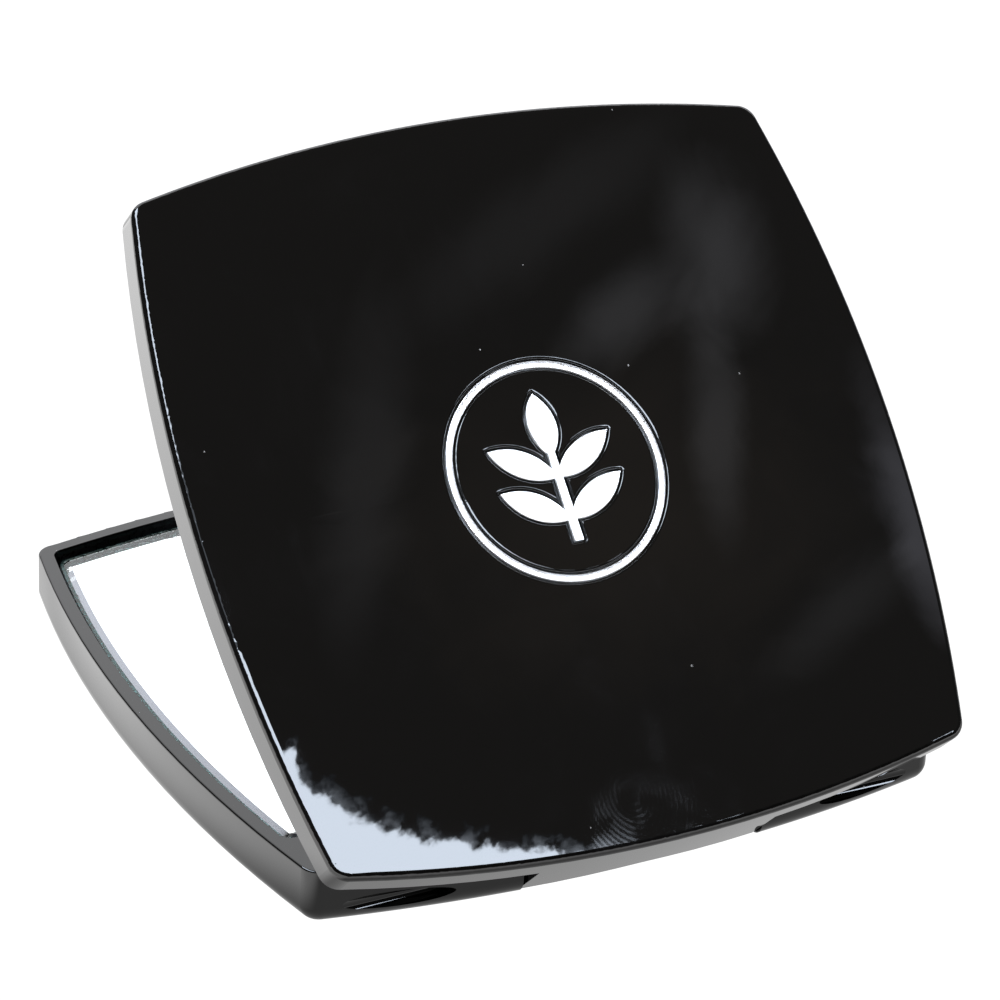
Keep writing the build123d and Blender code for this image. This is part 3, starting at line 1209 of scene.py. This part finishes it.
@dataclass
class Card:
    """A reflecting or black card that only reflections see."""

    name: str
    centre: Point3
    size: Point2
    aim: Point3
    radiance: float
    tint: Colour = (1.0, 1.0, 1.0)

    def mesh_object(self) -> bpy.types.Object:
        """Make the card's sheet, facing its aim and hidden from everything but reflections."""
        card = add_sheet(self.name, self.size[0] / 2, self.size[1] / 2)
        facing = Vector(self.aim) - Vector(self.centre)
        card.matrix_world = (Matrix.Translation(self.centre)
                             @ facing.to_track_quat("Z", "Y").to_matrix().to_4x4())
        card.visible_camera = card.visible_diffuse = card.visible_shadow = False
        return card

    def glow(self) -> ShaderGraph:
        """Start the card's emission."""
        graph = ShaderGraph(self.name, "ShaderNodeEmission")
        graph.set(Color=self.tint, Strength=self.radiance)
        return graph

    def build(self) -> None:
        """Make the card with an even glow."""
        self.mesh_object().data.materials.append(self.glow().material)


@dataclass(frozen=True)
class HazeSpot:
    """A soft pale patch on the overhead card."""

    centre: Point2
    half_size: Point2
    turn_deg: float
    radiance: float
    tint: Colour = (0.92, 0.93, 1.0)


@dataclass
class OverheadCard(Card):
    """The big dark card over the lid: torn back from the key light on two sides, and hazy."""

    key_radiance: float = 23.1
    key_tint: Colour = (0.78, 0.87, 1.0)
    key_corner: Point2 = (-0.222, 0.402)
    key_sweep: Point2 = (0.085, 0.056)
    key_side: float = 0.17
    side_dim: float = 2.2
    side_dim_from: float = 0.235
    side_dim_to: float = 0.275
    torn: float = 0.008
    border_blur: Point2 = (-0.0005, 0.0025)
    tear_scale: float = 130.0
    tear_fades_over: float = 0.05
    wisp_scale: float = 90.0
    wisp_reach: float = 0.008
    wisp_share: float = 0.15
    side_edge: float = 0.004
    swirl_scale: float = 24.0
    swirl_share: float = 0.9
    spots: tuple[HazeSpot, ...] = (
        HazeSpot((-0.368, 0.255), (0.034, 0.018), 103.0, 0.60),
        HazeSpot((-0.372, 0.317), (0.042, 0.010), 97.0, 0.42),
        HazeSpot((-0.334, 0.271), (0.027, 0.014), 29.0, 0.52),
        HazeSpot((-0.245, 0.314), (0.060, 0.014), 84.0, 0.20),
        HazeSpot((-0.306, 0.237), (0.060, 0.016), 28.0, 0.14),
        HazeSpot((-0.334, 0.343), (0.087, 0.060), 161.0, 0.13, (1.0, 0.80, 0.62)),
        HazeSpot((-0.449, 0.361), (0.057, 0.012), 112.0, 1.0, (0.85, 0.86, 1.0)),
        HazeSpot((-0.421, 0.391), (0.036, 0.016), 38.0, 0.20),
    )

    def patch(self, graph: ShaderGraph, where: Socket, spot: HazeSpot, swirl: Socket) -> Socket:
        """One haze spot's light.

        Args:
            graph: the card's material.
            where: the point on the card.
            spot: the spot.
            swirl: noise that breaks up its edge.

        Returns:
            Its colour.
        """
        local = graph.node("Mapping", {"Vector": where, "Location": (*spot.centre, self.centre[2]),
                                       "Rotation": (0.0, 0.0, math.radians(spot.turn_deg)),
                                       "Scale": (*spot.half_size, 1.0)},
                           vector_type="TEXTURE").outputs["Vector"]
        away = graph.vector("LENGTH", local).outputs["Value"]
        share = graph.fade(graph.math("MULTIPLY_ADD", swirl, self.swirl_share, away), 1.75, 0.55)
        return graph.scaled([c * spot.radiance for c in spot.tint], share)

    def corner_light(self, graph: ShaderGraph) -> Socket:
        """The key light past the card's torn, curved border.

        Args:
            graph: the card's material.

        Returns:
            Its radiance, which is 0 on the card.
        """
        place, axes = graph.place_m()
        run = graph.math("DIVIDE", graph.math("SUBTRACT", self.key_corner[0], axes["X"]),
                         self.key_sweep[0])
        rise = graph.math("SQRT", graph.math("MAXIMUM", run, 0.0))
        border = graph.math("MULTIPLY_ADD", rise, self.key_sweep[1], self.key_corner[1])
        tear = graph.math("SUBTRACT", graph.noise(place, self.tear_scale, 5.0, 0.62), 0.5)
        quiet = graph.fade(axes["X"], self.key_corner[0] + self.tear_fades_over, self.key_corner[0])
        beyond = graph.math("MULTIPLY_ADD", graph.math("MULTIPLY", tear, quiet), 2 * self.torn,
                            graph.math("SUBTRACT", axes["Y"], border))
        threads = graph.fade(graph.noise(place, self.wisp_scale, 6.0, 0.7), 0.44, 0.64)
        near = graph.fade(beyond, -self.wisp_reach, 0.0, 0.0, self.wisp_share)
        wisps = graph.math("MULTIPLY", threads, near)
        open_sky = graph.fade(beyond, *self.border_blur)
        return graph.math("MULTIPLY", graph.math("MAXIMUM", open_sky, wisps), self.key_radiance)

    def side_light(self, graph: ShaderGraph) -> Socket:
        """The key light past the card's side, which fades towards the front.

        Args:
            graph: the card's material.

        Returns:
            Its radiance, which is 0 on the card.
        """
        axes = graph.place_m()[1]
        along = graph.fade(axes["Y"], self.side_dim_from, self.side_dim_to, self.key_radiance,
                           self.side_dim)
        past = graph.fade(axes["X"], self.key_side, self.key_side + self.side_edge)
        return graph.math("MULTIPLY", past, along)

    def build(self) -> None:
        """Make the card; it is level, so its plan coordinates are the frame's own."""
        card = self.mesh_object()
        graph = self.glow()
        place = graph.place_m()[0]
        key = graph.math("MAXIMUM", self.corner_light(graph), self.side_light(graph))
        swirl = graph.noise(place, self.swirl_scale, 3.0, 0.5, 0.8)
        light = [c * self.radiance for c in self.tint]
        for spot in self.spots:
            light = graph.vector("ADD", self.patch(graph, place, spot, swirl), light).outputs[0]
        light = graph.vector("MAXIMUM", light, graph.scaled(self.key_tint, key)).outputs[0]
        graph.set(Color=light, Strength=1.0)
        card.data.materials.append(graph.material)


@dataclass
class Floor:
    """A plain white sheet to the camera; to reflections it shows painted light, with the studio's light
    falling off across it and painted shade near the compact.
    """

    half_size: float = 3.0
    white: Colour = (0.9, 0.9, 0.9)
    seen: float = 1.25
    near: float = 0.80
    rear: float = 2.3
    rear_from: float = 0.039
    rear_to: float = 0.055
    front: float = 1.3
    front_from: float = 0.0
    front_to: float = -0.030
    side: float = 2.7
    side_from: float = 0.030
    side_to: float = 0.0355
    side_gain: float = 1.0
    gain_to: float = 0.080

    def build(self) -> None:
        """Make the floor."""
        sheet = add_sheet("studio_floor", self.half_size, self.half_size)
        graph = ShaderGraph("studio_floor_sheet", "ShaderNodeEmission")
        _, axes = graph.place_m()
        # Painted shade: the near level over the compact's footprint is the shadow of the compact;
        # front, rear and +X side levels are brighter painted light, seen only in reflections.
        level = graph.fade(axes["Y"], self.front_from, self.front_to, self.near, self.front)
        level = graph.fade(axes["Y"], self.rear_from, self.rear_to, level, self.rear)
        gain = graph.fade(axes["X"], self.side_to, self.gain_to, self.side, self.side + self.side_gain)
        lit = graph.fade(axes["X"], self.side_from, self.side_to, level, gain)
        direct = graph.node("LightPath").outputs["Is Camera Ray"]
        graph.set(Color=self.white, Strength=graph.fade(direct, 0.0, 1.0, lit, self.seen))
        sheet.data.materials.append(graph.material)


@dataclass
class StillCamera:
    """A long lens on a tripod behind the hinge, tipped very slightly."""

    azimuth: float = 28.34
    elevation: float = 27.86
    roll: float = 2.85
    distance: float = 390.27
    slide: Point2 = (-2.59, -16.36)
    focal: float = 161.24
    sensor: float = 36.0

    def build(self) -> None:
        """Make the camera and look through it."""
        az, el, roll = (math.radians(a) for a in (self.azimuth, self.elevation, self.roll))
        back = Vector((math.sin(az) * math.cos(el), math.cos(az) * math.cos(el), math.sin(el)))
        level = (-back).cross(Vector((0, 0, 1))).normalized()
        upright = level.cross(-back)
        right = level * math.cos(roll) + upright * math.sin(roll)
        up = upright * math.cos(roll) - level * math.sin(roll)
        stand = back * self.distance - right * self.slide[0] - up * self.slide[1]
        data = bpy.data.cameras.new("still_camera")
        data.lens, data.sensor_width = self.focal, self.sensor
        data.clip_start, data.clip_end = 0.01, 20.0
        camera = add_object("still_camera", data)
        axes = Matrix((right, up, back)).transposed().to_4x4()
        camera.matrix_world = Matrix.Translation(stand * MM) @ axes
        bpy.context.scene.camera = camera


@dataclass
class Studio:
    """Floor, cards, soft light, room and camera."""

    floor: Floor = field(default_factory=Floor)
    camera: StillCamera = field(default_factory=StillCamera)
    cards: tuple[Card, ...] = (
        OverheadCard("overhead_card", centre=(-0.145, 0.175, 0.60), size=(1.05, 1.21),
                     aim=(-0.145, 0.175, 0.0), radiance=0.19, tint=(1.0, 0.96, 0.93)),
        Card("far_low", centre=(-0.36, -0.51, 0.105), size=(1.30, 0.23),
             aim=(0.0, 0.0, 0.105), radiance=0.62, tint=(0.84, 0.86, 1.0)),
        Card("rear_flag", centre=(0.0, 0.20, 0.05), size=(0.60, 0.10),
             aim=(0.0, 0.0, 0.05), radiance=0.05),
        Card("far_sweep", centre=(-0.368, -0.654, 0.808), size=(1.8, 1.9),
             aim=(0.063, 0.112, 0.33), radiance=2.0, tint=(0.97, 0.98, 1.0)),
    )
    room: float = 0.16
    backdrop: float = 1.05
    soft_power: float = 0.85
    soft_size: float = 0.6
    soft_place: Point3 = (0.25, 0.35, 0.62)

    def build(self) -> None:
        """Set up the studio."""
        self.floor.build()
        for card in self.cards:
            card.build()
        self.light()
        self.world()
        self.camera.build()
        bpy.context.scene.view_settings.view_transform = "Standard"
        log.info("studio: floor, %d cards, soft light and camera", len(self.cards))

    def light(self) -> None:
        """One broad soft light over the lid, which reflections don't show."""
        data = bpy.data.lights.new("soft_light", "AREA")
        data.energy, data.size = self.soft_power, self.soft_size
        lamp = add_object("soft_light", data)
        lamp.location = self.soft_place
        lamp.rotation_mode = "QUATERNION"
        lamp.rotation_quaternion = (-Vector(self.soft_place)).to_track_quat("-Z", "Y")
        lamp.visible_glossy = False

    def world(self) -> None:
        """A dim room, with a plain white backdrop behind the object."""
        world = bpy.data.worlds.new("room")
        bpy.context.scene.world = world
        world.use_nodes = True
        tree = world.node_tree
        tree.nodes.clear()
        seen = tree.nodes.new("ShaderNodeLightPath").outputs["Is Camera Ray"]
        level = tree.nodes.new("ShaderNodeMapRange")
        level.inputs["To Min"].default_value = self.room
        level.inputs["To Max"].default_value = self.backdrop
        glow = tree.nodes.new("ShaderNodeBackground")
        output = tree.nodes.new("ShaderNodeOutputWorld")
        tree.links.new(seen, level.inputs["Value"])
        tree.links.new(level.outputs["Result"], glow.inputs["Strength"])
        tree.links.new(glow.outputs[0], output.inputs["Surface"])


def main() -> None:
    """Build the compact and its studio."""
    logging.basicConfig(level=logging.INFO, format="%(name)s %(message)s")
    hinge = Hinge.from_record()
    chipped = GroundGlass("chipped_glass_arris", pale=(0.05, 0.13, 0.12),
                          dark=(0.003, 0.008, 0.007), metallic=0.0)
    glass = {Role.SILVER: Silvering("silvered_glass").build(),
             Role.BEVEL: Silvering("silvered_bevel", silver=(0.80, 0.84, 0.95)).build(),
             Role.EDGE: GroundGlass().build(),
             Role.BACK: BackingPaint().build(),
             Role.ARRIS: chipped.build()}
    BaseHalf().build(glass)
    LidHalf(hinge).build(glass)
    Studio().build()


if __name__ == "__main__":
    main()
